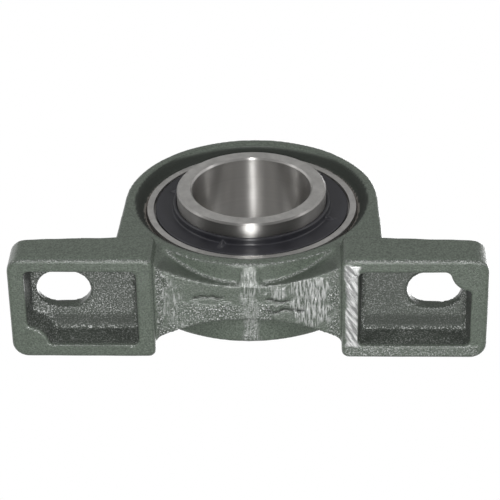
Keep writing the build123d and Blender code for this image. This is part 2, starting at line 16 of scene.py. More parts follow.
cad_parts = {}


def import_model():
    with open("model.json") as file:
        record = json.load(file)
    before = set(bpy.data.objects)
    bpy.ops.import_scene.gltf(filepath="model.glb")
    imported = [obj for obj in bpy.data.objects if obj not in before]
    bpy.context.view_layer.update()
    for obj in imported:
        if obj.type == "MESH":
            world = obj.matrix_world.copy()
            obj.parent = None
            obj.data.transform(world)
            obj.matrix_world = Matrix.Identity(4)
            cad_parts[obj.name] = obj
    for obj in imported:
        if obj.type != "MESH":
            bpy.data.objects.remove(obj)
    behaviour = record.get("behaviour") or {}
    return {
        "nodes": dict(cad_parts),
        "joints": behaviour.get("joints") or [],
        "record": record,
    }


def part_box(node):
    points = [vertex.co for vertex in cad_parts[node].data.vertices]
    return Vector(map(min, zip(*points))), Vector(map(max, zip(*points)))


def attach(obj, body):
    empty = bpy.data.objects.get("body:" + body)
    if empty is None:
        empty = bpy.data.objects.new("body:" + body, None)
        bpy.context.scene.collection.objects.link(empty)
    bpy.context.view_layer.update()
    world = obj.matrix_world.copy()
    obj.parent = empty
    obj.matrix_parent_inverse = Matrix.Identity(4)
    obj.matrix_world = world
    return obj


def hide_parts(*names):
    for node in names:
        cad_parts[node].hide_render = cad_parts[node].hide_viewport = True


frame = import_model()

bl_info = {
    "name": "Pillow block bearing",
    "version": (1, 0, 0),
    "blender": (4, 5, 0),
    "location": "3D View > Sidebar > Pillow block",
    "description": "Builds the finish of a cast pillow block and its bearing insert round the packed frame",
    "category": "Object",
}

MM = 0.001
TAU = 2 * pi
NODES = frame["nodes"]
BODY_OF = {node: body for body, names in frame["record"]["behaviour"]["bodies"].items() for node in names}
MOUNTS = {mount["name"]: mount for mount in frame["record"]["mounts"]}


def node_box(node):
    """Lowest and highest corner of a frame node, in millimetres."""
    low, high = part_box(node)
    return np.array(low) / MM, np.array(high) / MM


CAST_LOW, CAST_HIGH = node_box("housing")
BASE_Z = CAST_LOW[2]
RING_R = node_box("inner_ring")[1][0]                   # outside of the inner ring
SPHERE_R, OUTER_HALF = node_box("outer_ring")[1][:2]    # its sphere's radius, half its width
FOOT_MID_Y = MOUNTS["left_foot_face"]["pos_m"][1] / MM
BOLT_X = MOUNTS["base_bolts"]["dims"]["spacing_x_mm"] / 2

POCKET_MID_X = BOLT_X - 9    # middle of a foot's hollow
POCKET_FROM_X = 46           # hollow's inner end, from the middle of the block
POCKET_CEILING = 13.6        # just over the hollow's floor, from the base
POCKET_SPAN = 20             # distance from that middle at which a face turned from it scores 1
BARREL_HALF = 20.5           # half the barrel's width along the shaft
SEAT_GAP = 0.12              # least air between the outer ring and the casting's skin

# Patches on the underside of the web: share, x from, x to, y from, y to.
LUMP_PATCHES = ((1.0, -44, -35.4, -20, 30), (0.8, -30, 14, 2.4, 16), (0.6, 6, 27, 2.5, 8),
                (0.75, 35, 44, -20, 30), (0.75, -36, -27, 2, 20), (0.35, 7, 20, -6, 2))
RIDGE_PATCHES = ((0.5, -39, -33.5, -12, 12), (0.9, -33.6, -29.8, -7, 16), (0.6, 6, 20, -6, 1.4),
                 (0.75, 19, 37, -11, 14), (1.0, 25, 33.5, -10, 13))
LUMPS_ALL_OVER = 0.15        # least share of lumps anywhere on it
# Other patches, seen from below: x from, x to, y from, y to.
CAST_BAND = (-3.6, 5.4, -13, 26)     # across the web and out to the barrel
REAR_RIM = (43, 103, 23.6, 31)       # sandy rear rim of the foot on the +X side
RUBBED_RIM = (43, 50, -18.5, 25)     # rim of the same foot beside the web
# Cold seams under the web: x from, x to, y, seed of their wandering.
COLD_SEAMS = ((-25.0, -10.0, 0.3, 6), (7.5, 19.6, 1.9, 7), (7.5, 26.0, 7.2, 8))
# Zones that are stored on the casting's mesh for its paint.
PAINT_ZONES = ("dark", "crinkle", "sand", "ripple", "rubbed", "seam", "seat")

SLINGER_COLUMNS, FLANGE_ROWS = 480, 14
DART_RISE = 0.62             # top of a dart over the flange, as a share of the collar's
SCREW_COLUMNS, THREAD_ROWS = 72, 64
SCREW_BEVEL = 0.8            # bevel at both ends of a set screw
CUP_R, CUP_DEPTH = 2.5, 1.7  # hollow of its cup point
SOCKET_BEVEL = 0.25          # depth of the hexagon's broken edge
SOCKET_FLARE = 1.12          # size of that edge, as a share of the hexagon

FLOOR_R = 1400               # radius of the floor's disc
FLOOR_GAP = 0.15             # floor under the feet
FLOOR_FADE = (0.35, 1.2)     # where the floor starts to fade and where it is gone, in metres
# Lamps: name, place in metres, width and height in metres, setting that holds its power.
LAMPS = (
    ("key_lamp_left", (-0.8, -0.95, -0.5), (0.2, 0.3), "key"),
    ("key_lamp_right", (0.8, -0.95, -0.5), (0.2, 0.3), "key"),
    ("line_lamp", (0.0, -0.62, -1.05), (0.035, 0.20), "line"),
    ("fill_lamp", (0.0, 0.10, -1.25), (0.40, 0.20), "fill"),
    ("top_lamp", (0.4, 0.5, 1.1), (0.8, 0.8), "top"),
    ("edge_lamp_left", (-1.0, -0.8, 0.05), (0.10, 0.3), "edge"),
    ("edge_lamp_right", (1.0, -0.8, 0.05), (0.10, 0.3), "edge"),
)


# ---------------------------------------------------------------- settings
def length(name, default, description):
    """A length in millimetres, for a property group."""
    return FloatProperty(name=name, description=description, default=default, precision=3)


def colour(name, default, description):
    """A linear RGB colour, for a property group."""
    return FloatVectorProperty(name=name, description=description, default=default, subtype="COLOR",
                               min=0, max=1)


def power(name, default, description):
    """A lamp's power in watts, for a property group."""
    return FloatProperty(name=name, description=description, default=default, unit="POWER")


class CastingSettings(bpy.types.PropertyGroup):
    """Sizes and colours of the painted casting."""
    cell: length("Cell", 0.845, "Size of the surface's even grid, in mm")
    rounding: IntProperty(name="Rounding", description="Passes that round the cast edges", default=1, min=0)
    regain: length("Regain", 0.08, "Step outwards that makes up for what the rounding takes off, in mm")
    wave_height: length("Wave height", 0.09, "Slow waves of a moulded face, in mm")
    wave_length: length("Wave length", 11.0, "Spacing of the slow waves, in mm")
    sand_height: length("Sand height", 0.16, "Coarse sand skin in the cored hollows, in mm")
    sand_size: length("Sand size", 2.1, "Spacing of the sand skin's lumps, in mm")
    ripple_height: length("Ripple height", 0.13, "Ripples across the underside of the web, in mm")
    ripple_pitch: length("Ripple pitch", 3.1, "Spacing of the ripples, in mm")
    seam_depth: length("Seam depth", 0.35, "Depth of the cold seams under the web, in mm")
    seam_width: length("Seam width", 0.75, "Half width of a cold seam, in mm")
    paint: colour("Paint", (0.066, 0.079, 0.0643), "Grey-green enamel")
    # painted highlight: a pale colour laid on the crests of the rough skin
    painted_glint: colour("Painted glint", (0.56, 0.57, 0.56), "Painted highlight on the crests of the rough skin")
    worn: colour("Worn paint", (0.80, 0.81, 0.80), "Enamel rubbed thin on one foot's rim")
    iron: colour("Machined iron", (0.27, 0.25, 0.23), "Bare iron of the spherical seat")


class InsertSettings(bpy.types.PropertyGroup):
    """Sizes and colours of the bearing insert."""
    steel: colour("Ground steel", (0.47, 0.46, 0.445), "Rings")
    face: colour("Ring faces", (0.60, 0.59, 0.57), "Flat ground faces of the rings")
    bright: colour("Polished steel", (0.72, 0.72, 0.73), "Balls, spring and check ball")
    pressed: colour("Pressed sheet", (0.42, 0.41, 0.40), "Cage and seal cases")
    black: colour("Black finish", (0.013, 0.013, 0.016), "Slingers")
    oxide: colour("Black oxide", (0.035, 0.034, 0.033), "Set screws")
    rubber: colour("Rubber", (0.016, 0.016, 0.017), "Seal lips")
    plate: colour("Zinc plate", (0.60, 0.56, 0.46), "Grease nipple")
    sheet: length("Slinger sheet", 1.1, "Thickness of the pressed slinger, in mm")
    collar: length("Collar", 1.9, "Thickness of the slinger's collar, in mm")
    fold: length("Fold radius", 0.7, "Radius of the slinger's folds, in mm")
    darts: IntProperty(name="Darts", description="Stiffening darts across the fold", default=4, min=0)
    dart_turn: FloatProperty(name="Dart turn", description="Angle of the first dart from +X",
                             default=radians(-19), subtype="ANGLE")
    dart_length: length("Dart length", 5.2, "Reach of a dart over the flange, in mm")
    dart_width: length("Dart width", 0.85, "Half width of a dart at half height, in mm")
    thread_pitch: length("Thread pitch", 1.25, "Pitch of the set screws' thread, in mm")
    thread_depth: length("Thread depth", 0.6, "Depth of the thread, in mm")
    socket: length("Socket", 5.0, "Hexagon socket across its flats, in mm")
    socket_depth: length("Socket depth", 4.5, "Depth of the hexagon socket, in mm")


class StageSettings(bpy.types.PropertyGroup):
    """Camera, lamps, floor and background."""
    lens: FloatProperty(name="Lens", description="Focal length on a 36 mm sensor", default=152.94,
                        unit="CAMERA")
    camera: FloatVectorProperty(name="Camera", description="Camera's place, in metres",
                                default=(0.0376, -0.502, -0.855), unit="LENGTH")
    aim: FloatVectorProperty(name="Aim", description="Direction that the camera looks in",
                             default=(-0.0389, 0.5147, 0.8565))
    level: FloatVectorProperty(name="Level", description="Direction to the right of the camera's view",
                               default=(0.9992, 0.0186, 0.0342))
    key: power("Key lamps", 7.6, "Power of each small lamp in front, to a side")
    fill: power("Fill lamp", 9.0, "Power of the broad lamp under the part")
    top: power("Top lamp", 8.0, "Power of the broad lamp over the part")
    line: power("Line lamp", 9.0, "Power of the narrow lamp by the camera")
    edge: power("Edge lamps", 0.5, "Power of each narrow side lamp")
    sky: FloatProperty(name="Sky", description="Strength of the even light from all round", default=0.28)
    card: FloatProperty(name="Grey card", description="Brightness of the card under the part", default=0.28)
    card_above: FloatProperty(name="Upper card", description="Brightness of the card over it, as a share",
                              default=1.3)
    floor: colour("Floor", (0.86, 0.86, 0.86), "Pale floor")


# ---------------------------------------------------------------- numpy helpers
def lattice_noise(points, cell, seed):
    """Smooth noise from -1 to 1: random values on a cubic lattice, blended per axis by t*t*(3 - 2t)."""
    side = 48
    table = np.random.default_rng(seed).uniform(-1, 1, (side, side, side))
    place = points / cell
    base = np.floor(place).astype(int)
    t = place - base
    t = t * t * (3 - 2 * t)
    total = np.zeros(len(points))
    for corner in np.ndindex(2, 2, 2):
        i, j, k = ((base + corner) % side).T
        weight = np.where(corner, t, 1 - t).prod(axis=1)
        total += weight * table[i, j, k]
    return total


def ramp(value, low, high):
    """0 below low and 1 above high, with an eased slope between them."""
    t = np.clip((value - low) / (high - low), 0, 1)
    return t * t * (3 - 2 * t)


def bell(value, width):
    """1 at zero, falling off either side as exp(-(value / width)^2)."""
    return np.exp(-(value / width) ** 2)


def place_piece(name, mesh, node):
    """Object of a finished mesh, riding with a frame node's body and standing for that node."""
    piece = bpy.data.objects.new(name, mesh)
    bpy.context.scene.collection.objects.link(piece)
    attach(piece, BODY_OF[node])
    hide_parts(node)
    return piece


def new_piece(name, points, faces, node):
    """Smooth piece from points in mm and an array of faces, in place of a frame node."""
    mesh = bpy.data.meshes.new(name)
    mesh.from_pydata(points * MM, [], faces.tolist())
    mesh.validate()
    mesh.shade_smooth()
    return place_piece(name, mesh, node)


def ring_faces(rows, columns):
    """Quads of a grid of rows whose columns close round."""
    index = np.arange(rows * columns).reshape(rows, columns)
    ahead = np.roll(index, -1, axis=1)
    quads = np.stack([index[:-1], ahead[:-1], ahead[1:], index[1:]], axis=-1)
    return quads.reshape(-1, 4)


def vertex_arrays(mesh):
    """Places and normals of a mesh's vertices, the places in mm."""
    places = np.empty(len(mesh.vertices) * 3, np.float32)
    normals = np.empty(len(mesh.vertices) * 3, np.float32)
    mesh.vertices.foreach_get("co", places)
    mesh.vertices.foreach_get("normal", normals)
    return places.reshape(-1, 3).astype(float) / MM, normals.reshape(-1, 3).astype(float)


def store(mesh, name, values):
    """A named value on every vertex, for the materials."""
    layer = mesh.attributes.new(name, "FLOAT", "POINT")
    layer.data.foreach_set("value", values.astype(np.float32))


def mend_poles(mesh, closed=True):
    """Merges the rows that shrink to a point and turns a closed surface's faces outwards."""
    shell = bmesh.new()
    shell.from_mesh(mesh)
    bmesh.ops.remove_doubles(shell, verts=shell.verts, dist=1e-7)
    if closed:
        bmesh.ops.recalc_face_normals(shell, faces=shell.faces)
    shell.to_mesh(mesh)
    shell.free()
    mesh.shade_smooth()


# ---------------------------------------------------------------- casting
def even_copy(node, cell, rounding):
    """Closed copy of a frame node with its doubles merged, on an even grid and with its edges rounded."""
    mesh = node.data.copy()
    shell = bmesh.new()
    shell.from_mesh(mesh)
    bmesh.ops.remove_doubles(shell, verts=shell.verts, dist=1e-6)
    shell.to_mesh(mesh)
    shell.free()
    work = bpy.data.objects.new("casting_work", mesh)
    bpy.context.scene.collection.objects.link(work)
    remesh = work.modifiers.new("Even grid", "REMESH")
    remesh.mode = "VOXEL"
    remesh.voxel_size = cell * MM
    smooth = work.modifiers.new("Rounding", "SMOOTH")
    smooth.iterations = rounding
    smooth.factor = 0.5
    graph = bpy.context.evaluated_depsgraph_get()
    even = bpy.data.meshes.new_from_object(work.evaluated_get(graph))
    bpy.data.objects.remove(work)
    return even


def patch(p, x_from, x_to, y_from, y_to, ragged):
    """Soft-edged rectangle seen along Z: two eased ramps per axis, multiplied, of a place moved by noise."""
    shift = ragged * lattice_noise(p, 3.0, 10)
    x, y = p[:, 0] + shift, p[:, 1] + shift
    across = ramp(x, x_from, x_from + ragged) * ramp(-x, -x_to, ragged - x_to)
    return across * ramp(y, y_from, y_from + ragged) * ramp(-y, -y_to, ragged - y_to)


def strongest_patch(p, patches, ragged, start):
    """Greatest share that a list of patches gives each point, and at least the start."""
    total = np.full(len(p), float(start))
    for share, *limits in patches:
        total = np.maximum(total, share * patch(p, *limits, ragged))
    return total


def foot_zones(p, n, height):
    """Walls, floors and coves of the hollows, by height and by how far a face looks at their middle."""
    aside, along = np.abs(p[:, 0]) - POCKET_MID_X, p[:, 1] - FOOT_MID_Y
    facing = (n[:, 0] * np.sign(p[:, 0]) * aside + n[:, 1] * along) / POCKET_SPAN
    inside = (np.abs(p[:, 0]) > POCKET_FROM_X) & (height < POCKET_CEILING)
    walls = inside * ramp(height, 0.4, 1.2) * ramp(-facing, 0.05, 0.3)
    floors = inside * ramp(height, 6, 8) * ramp(-n[:, 2], 0.5, 0.8)
    coves = inside * ramp(height, 10.2, 11.4) * ramp(-facing, 0.2, 0.45) * ramp(-n[:, 2], 0.2, 0.45)
    return walls, floors, coves


def casting_zones(s, p, n):
    """Shares from 0 to 1 of each point in the zones that the relief and the paint tell apart.

    A zone is a product of eased ramps of the place in mm and of the normal, and zones join by their greatest.
    """
    x, y, z = p.T
    nx, ny, nz = n.T
    height = z - BASE_Z
    walls, floors, coves = foot_zones(p, n, height)
    # underside of the web, and the cast pad that runs across it and out to the barrel
    under = ramp(-np.abs(x), -41.4, -39.8) * ramp(-z, 40, 44) * ramp(-nz, 0.5, 0.8)
    web = under * ramp(-height, -4.6, -3.9)
    band = under * patch(p, *CAST_BAND, 2)
    pad = band * ramp(-y, -2.5, 0.5)
    lumps = np.maximum(web * strongest_patch(p, LUMP_PATCHES, 2.5, LUMPS_ALL_OVER), 0.9 * (band - pad))
    ridges = np.max([web * strongest_patch(p, RIDGE_PATCHES, 3.0, 0), 0.42 * pad, 0.3 * band], axis=0)
    # rims of the soles, front edges and the web's front face
    base = ramp(-nz, 0.7, 0.95) * ramp(-height, -1.2, -0.5)
    rear_rim = base * patch(p, *REAR_RIM, 0.8)
    rubbed = base * patch(p, *RUBBED_RIM, 1.2)
    edge = ramp(-ny, 0.35, 0.6) * ramp(-nz, 0.35, 0.6) * ramp(-z, 30, 36)
    nook = (ramp(-np.abs(x), -41.5, -40) * ramp(-ny, 0.3, 0.6) * ramp(y, -15.4, -14.4)
            * ramp(-height, -16, -9))
    # seat and mouths of the barrel; painted shade inside the mouths, starting further in at the top, where
    # more light reaches
    round_r = np.hypot(x, z)
    seat = (np.linalg.norm(p, axis=1) < SPHERE_R + 0.9) & (round_r < SPHERE_R + 0.6)
    inward = -(nx * x + nz * z) / np.maximum(round_r, 1)
    depth = BARREL_HALF - np.abs(y - FOOT_MID_Y)
    painted = 4.0 * ramp(z, 15, 50)
    mouth = ramp(inward, 0.14, 0.3) * (round_r < SPHERE_R + 7) * ramp(depth, painted - 4.3, painted - 2)
    # sandy skin in the hollows, coarser on the left, smoother along their rear walls, where the painted shade
    # grows
    rear = floors * ramp(y, 13.5, 16.5)
    coarse = 0.42 + 0.38 * ramp(-x, 0, 1)
    cored = coarse * floors * (1 - 0.7 * rear)
    # sand also sets where the crests take painted glints: beads along the front edges, the coves and the rear
    # rim
    sand = np.max([cored, 0.35 * walls, coves, 0.55 * rear_rim, 0.7 * edge], axis=0)
    patchy = 0.6 + 0.4 * ramp(lattice_noise(p, 8.0, 11), -0.3, 0.3)
    # painted shade: darker paint on the hollows' walls and floors, the front edges, inside the mouths and in
    # the nook under the barrel
    dark = np.max([0.85 * walls, 0.55 * floors + 0.25 * rear, 0.65 * edge, mouth, 0.55 * nook], axis=0)
    return {"base": base, "dark": dark, "crinkle": lumps * patchy * (1 - 0.7 * ridges), "sand": sand * patchy,
            "ripple": ridges, "rubbed": rubbed, "seam": casting_seams(s, p) * web, "seat": seat.astype(float)}


def casting_seams(s, p):
    """Cold seams under the web: bells of uneven width across wandering lines that run along X."""
    total = np.zeros(len(p))
    ragged = s.seam_width * (0.85 + 0.5 * lattice_noise(p, 1.5, 9))
    for x_from, x_to, y_at, seed in COLD_SEAMS:
        wander = y_at + 0.9 * lattice_noise(p * (1, 0, 0), 2.6, seed)
        along = ramp(p[:, 0], x_from, x_from + 1.5) * ramp(-p[:, 0], -x_to, 1.5 - x_to)
        total = np.maximum(total, bell((p[:, 1] - wander) / ragged, 1.0) * along)
    return total


def casting_relief(s, p, zones):
    """Height in mm along the normal: slow waves and sand by lattice noise, ripples under the web, cold seams.

    The ripples are height * sin(2 pi (x + drift) / pitch), and a seam is a bell that goes inwards.
    """
    relief = s.wave_height * lattice_noise(p, s.wave_length, 1) * (1 - zones["base"])
    sand = 0.6 * lattice_noise(p, s.sand_size, 2) + 0.4 * lattice_noise(p, 2.7 * s.sand_size, 3)
    relief += s.sand_height * sand * np.maximum(zones["crinkle"], 0.6 * zones["sand"])
    drift = 1.3 * lattice_noise(p * (1, 0.35, 1), 5.0, 4)
    relief += s.ripple_height * np.sin(TAU * (p[:, 0] + drift) / s.ripple_pitch) * zones["ripple"]
    relief -= s.seam_depth * zones["seam"]
    return relief * (1 - zones["seat"])


def build_casting(s):
    """Casting skin: the frame's casting on an even grid, each point at place + normal * (relief + regain).

    The seat is pushed back out to its own sphere, and nothing leaves the box of the frame's casting.
    """
    mesh = even_copy(NODES["housing"], s.cell, s.rounding)
    p, n = vertex_arrays(mesh)
    zones = casting_zones(s, p, n)
    p += n * (casting_relief(s, p, zones) + s.regain)[:, None]
    seat_r = SPHERE_R + SEAT_GAP
    reach = np.linalg.norm(p, axis=1)
    near = zones["seat"] * (reach < seat_r)
    p *= (1 + near * (seat_r / np.maximum(reach, 1) - 1))[:, None]
    p = np.clip(p, CAST_LOW, CAST_HIGH)
    mesh.vertices.foreach_set("co", (p * MM).astype(np.float32).ravel())
    mesh.name = "casting"
    mesh.update()
    mesh.shade_smooth()
    for name in PAINT_ZONES:
        store(mesh, name, zones[name])
    return place_piece("casting", mesh, "housing")


# ---------------------------------------------------------------- rings
def build_ring(name, turned, ground, outside):
    """Copy of a ring's frame mesh with a finish in its bore, one on its flat faces and one on its outside, a
    darker copy of the steel that paints in shade.
    """
    mesh = NODES[name].data.copy()
    mesh.name = name + "_ground"
    mesh.materials.clear()
    for finish in (turned, ground, outside):
        mesh.materials.append(finish)
    normals, middles = np.empty((2, len(mesh.polygons) * 3), np.float32)
    mesh.polygons.foreach_get("normal", normals)
    mesh.polygons.foreach_get("center", middles)
    normals, middles = normals.reshape(-1, 3), middles.reshape(-1, 3)
    outward = normals[:, 0] * middles[:, 0] + normals[:, 2] * middles[:, 2] > 0
    slot = np.where(np.abs(normals[:, 1]) > 0.95, 1, np.where(outward, 2, 0))
    mesh.polygons.foreach_set("material_index", slot.astype(np.int32))
    return place_piece(mesh.name, mesh, name)


# ---------------------------------------------------------------- slingers
def arc(centre, radius, start, end, count=6):
    """Points of an arc in (radius, y), from one angle to another in degrees."""
    a = np.radians(np.linspace(start, end, count))
    return [(centre[0] + radius * cos(t), centre[1] + radius * sin(t)) for t in a]


def slinger_profile(s, rim_r, collar_y):
    """Closed outline of the pressed slinger in (radius, y): collar, fold, flange and rounded rim."""
    half, fold = s.sheet / 2, s.fold
    outer = RING_R + s.collar
    lip = s.collar / 2 - 0.05    # leaves a narrow flat on the collar's end
    outline = [(RING_R, OUTER_HALF - s.sheet), (RING_R, collar_y - lip)]
    outline += arc((RING_R + lip, collar_y - lip), lip, 180, 90)
    outline += arc((outer - lip, collar_y - lip), lip, 90, 0)
    outline += arc((outer + fold, OUTER_HALF + fold), fold, 180, 270)
    flange = np.linspace(outer + fold + 0.6, rim_r - half - 0.4, FLANGE_ROWS)
    outline += [(r, OUTER_HALF) for r in flange]
    outline += arc((rim_r - half, OUTER_HALF - half), half, 90, -90, 8)
    return np.array(outline)


def dart_height(s, r, angle, foot_r, top):
    """Height in mm of a dart over the flange: a slope from the collar down, rounded across by a bell."""
    best = np.zeros_like(r)
    for index in range(s.darts):
        middle = s.dart_turn + index * TAU / s.darts
        across = r * np.sin(angle - middle)
        ahead = np.cos(angle - middle) > 0
        slope = np.clip(1 - (r - foot_r) / s.dart_length, 0, 1) * top
        best = np.maximum(best, slope * bell(across, s.dart_width) * ahead)
    return best


def build_slinger(s, name, side):
    """Slinger turned about Y: (r cos a, y, r sin a) for each (r, y) of the profile and each angle a.

    On its outer face y is at least the flange's place plus the darts' height.
    """
    low, high = node_box(name)
    collar_y = max(abs(low[1]), abs(high[1]))
    profile = slinger_profile(s, high[0], collar_y)
    angle = np.linspace(0, TAU, SLINGER_COLUMNS, endpoint=False)
    r = np.repeat(profile[:, :1], SLINGER_COLUMNS, axis=1)
    y = np.repeat(profile[:, 1:], SLINGER_COLUMNS, axis=1)
    foot_r = RING_R + s.collar
    lift = dart_height(s, r, angle[None, :], foot_r, DART_RISE * (collar_y - OUTER_HALF))
    outer_face = (r > foot_r - 0.01) & (y > OUTER_HALF - 0.01)
    y = np.where(outer_face, np.maximum(y, OUTER_HALF + lift), y)
    points = np.stack([r * np.cos(angle), side * y, r * np.sin(angle)], axis=-1).reshape(-1, 3)
    faces = ring_faces(len(profile) + 1, SLINGER_COLUMNS) % len(points)
    if side > 0:
        faces = faces[:, ::-1]
    return new_piece(name + "_pressed", points, faces, name)


# ---------------------------------------------------------------- set screws
def thread_radius(s, angle, along, body_r, start, end):
    """Body's radius less a triangle wave of the turn and of the place along, fading out towards both ends."""
    turn = along / s.thread_pitch - angle / TAU
    wave = np.abs(2 * (turn - np.floor(turn)) - 1)
    fade = ramp(along, start, start + s.thread_pitch) * ramp(-along, -end, s.thread_pitch - end)
    return body_r - s.thread_depth * wave * fade


def build_set_screw(s, name, axis, full):
    """Threaded grub screw of a full length, one closed grid: point + along * axis + radius * direction.

    Its rows are rings round the axis: from the top the socket's floor, its walls and broken edge, the rim,
    the thread and the cup point.
    """
    low, high = node_box(name)
    body_r = (high[1] - low[1]) / 2
    point = (low + high) / 2 - axis * full / 2
    angle = np.linspace(0, TAU, SCREW_COLUMNS, endpoint=False)
    sixth = TAU / 6
    hexagon = s.socket / 2 / np.cos((angle + sixth / 2) % sixth - sixth / 2)
    floor_at, rim_r = full - s.socket_depth, body_r - SCREW_BEVEL
    start, end = SCREW_BEVEL, full - SCREW_BEVEL
    rows = [(0 * hexagon, floor_at), (hexagon, floor_at), (hexagon, full - SOCKET_BEVEL),
            (SOCKET_FLARE * hexagon, full), (rim_r, full)]
    rows += [(thread_radius(s, angle, along, body_r, start, end), along)
             for along in np.linspace(end, start, THREAD_ROWS)]
    rows += [(rim_r, 0), (CUP_R, 0), (0, CUP_DEPTH)]
    radii = np.array([np.broadcast_to(radius, SCREW_COLUMNS) for radius, _ in rows])[..., None]
    alongs = np.array([along for _, along in rows])[:, None, None]
    first = np.array([0.0, 1.0, 0.0])
    second = np.cross(axis, first)
    turned = np.cos(angle)[:, None] * first + np.sin(angle)[:, None] * second
    points = (point + alongs * axis + radii * turned).reshape(-1, 3)
    piece = new_piece(name + "_threaded", points, ring_faces(len(rows), SCREW_COLUMNS), name)
    mend_poles(piece.data)
    return piece


# ---------------------------------------------------------------- shader groups
def group(name, inputs, outputs):
    """Empty shader group with float inputs (name, default) and float outputs, and its two end nodes."""
    tree = bpy.data.node_groups.new(name, "ShaderNodeTree")
    for label, default in inputs:
        socket = tree.interface.new_socket(label, in_out="INPUT", socket_type="NodeSocketFloat")
        socket.default_value = default
    for label in outputs:
        tree.interface.new_socket(label, in_out="OUTPUT", socket_type="NodeSocketFloat")
    return tree, tree.nodes.new("NodeGroupInput"), tree.nodes.new("NodeGroupOutput")


def plug(tree, socket, value):
    """Links a socket or sets it to a constant."""
    if isinstance(value, bpy.types.NodeSocket):
        tree.links.new(value, socket)
    else:
        socket.default_value = value


def noise(tree, vector, scale, detail=2.0, rough=0.5):
    """Noise texture on a vector; its Fac output."""
    node = tree.nodes.new("ShaderNodeTexNoise")
    node.inputs["Detail"].default_value = detail
    node.inputs["Roughness"].default_value = rough
    plug(tree, node.inputs["Scale"], scale)
    tree.links.new(vector, node.inputs["Vector"])
    return node.outputs["Fac"]


def maths(tree, operation, a, b=0.0):
    """Math node; its output."""
    node = tree.nodes.new("ShaderNodeMath")
    node.operation = operation
    plug(tree, node.inputs[0], a)
    plug(tree, node.inputs[1], b)
    return node.outputs[0]


def product(tree, a, b):
    """Product of two values."""
    return maths(tree, "MULTIPLY", a, b)


def greatest(tree, first, *others):
    """Greatest of several values."""
    for other in others:
        first = maths(tree, "MAXIMUM", first, other)
    return first


def spread(tree, value, low, high, to_low=0.0, to_high=1.0):
    """Map Range from low..high to to_low..to_high, clamped."""
    node = tree.nodes.new("ShaderNodeMapRange")
    plug(tree, node.inputs["Value"], value)
    for label, number in (("From Min", low), ("From Max", high), ("To Min", to_low), ("To Max", to_high)):
        plug(tree, node.inputs[label], number)
    return node.outputs["Result"]


def object_place(tree):
    """Object coordinates."""
    return tree.nodes.new("ShaderNodeTexCoord").outputs["Object"]


def attribute(tree, name):
    """A stored vertex value."""
    node = tree.nodes.new("ShaderNodeAttribute")
    node.attribute_name = name
    return node.outputs["Fac"]


def drawn_out(tree, place, turn, stretch):
    """Place turned about Z and shrunk along its new Y by a stretch, so that a noise is drawn out that way."""
    node = tree.nodes.new("ShaderNodeMapping")
    node.vector_type = "TEXTURE"
    node.inputs["Rotation"].default_value = (0, 0, turn)
    node.inputs["Scale"].default_value = (1, stretch, 1)
    tree.links.new(place, node.inputs["Vector"])
    return node.outputs["Vector"]


def paint_skin_group(name):
    """Skin of sprayed enamel: grain, lumps by Crinkle and Sand, ridges by Ripple, slanting strokes by Rubbed.

    Crest is each noise cut off low and high, so that its crests stand apart; the height is in mm.
    """
    zones = ("Crinkle", "Sand", "Ripple", "Rubbed")
    tree, start, end = group(name, [(zone, 0.0) for zone in zones] + [("Lump size", 1150.0)],
                             ["Height", "Crest", "Grain"])
    place = object_place(tree)
    grain = noise(tree, place, 1350.0, 3.0, 0.65)
    lumps = noise(tree, place, start.outputs["Lump size"], 3.0, 0.6)
    sand = noise(tree, place, 1500.0, 3.0, 0.6)
    ridges = noise(tree, drawn_out(tree, place, 0.0, 7.0), 1300.0, 3.0, 0.6)
    strokes = noise(tree, drawn_out(tree, place, radians(-33), 7.0), 850.0, 3.0, 0.6)
    height, crest = product(tree, grain, 0.12), 0.0
    cuts = ((lumps, 0.52, 0.67, 0.9), (sand, 0.50, 0.70, 0.5), (ridges, 0.42, 0.64, 0.5),
            (strokes, 0.42, 0.66, 0.25))
    for zone, (pattern, low, high, depth) in zip(zones, cuts):
        share = start.outputs[zone]
        height = maths(tree, "ADD", height, product(tree, product(tree, pattern, depth), share))
        crest = greatest(tree, crest, product(tree, spread(tree, pattern, low, high), share))
    for label, value in (("Height", height), ("Crest", crest), ("Grain", grain)):
        tree.links.new(value, end.inputs[label])
    return tree


def turning_group(name):
    """Fine marks of a tool that went round the Y axis: noise along Y and, weaker, of the radius."""
    tree, start, end = group(name, [("Pitch", 9000.0), ("Face share", 0.15)], ["Height", "Streak"])
    pitch = start.outputs["Pitch"]
    split = tree.nodes.new("ShaderNodeSeparateXYZ")
    tree.links.new(object_place(tree), split.inputs[0])
    x, y, z = split.outputs
    along, out = (tree.nodes.new("ShaderNodeCombineXYZ") for _ in range(2))
    tree.links.new(y, along.inputs["Y"])
    square = maths(tree, "ADD", product(tree, x, x), product(tree, z, z))
    tree.links.new(maths(tree, "SQRT", square), out.inputs["X"])
    fine = noise(tree, along.outputs[0], pitch, 3.0, 0.7)
    face = noise(tree, out.outputs[0], product(tree, pitch, 0.25))
    height = maths(tree, "ADD", fine, product(tree, face, start.outputs["Face share"]))
    tree.links.new(height, end.inputs["Height"])
    tree.links.new(noise(tree, along.outputs[0], 600.0), end.inputs["Streak"])
    return tree


def handling_group(name):
    """Faint cloudy film of oil and dust that varies the gloss."""
    tree, start, end = group(name, [("Size", 60.0)], ["Film"])
    cloud = noise(tree, object_place(tree), start.outputs["Size"], 4.0, 0.6)
    tree.links.new(spread(tree, cloud, 0.3, 0.75), end.inputs["Film"])
    return tree


GROUPS = {"Paint skin": paint_skin_group, "Turning marks": turning_group, "Handling film": handling_group}


def effect(tree, name, **values):
    """One of the shared groups placed in a material, with its own values."""
    node = tree.nodes.new("ShaderNodeGroup")
    node.node_tree = bpy.data.node_groups.get(name) or GROUPS[name](name)
    for label, value in values.items():
        plug(tree, node.inputs[label], value)
    return node.outputs


# ---------------------------------------------------------------- materials
def material(name):
    """New node material; its tree and its Principled shader."""
    made = bpy.data.materials.new(name)
    made.use_nodes = True
    return made, made.node_tree, made.node_tree.nodes["Principled BSDF"]


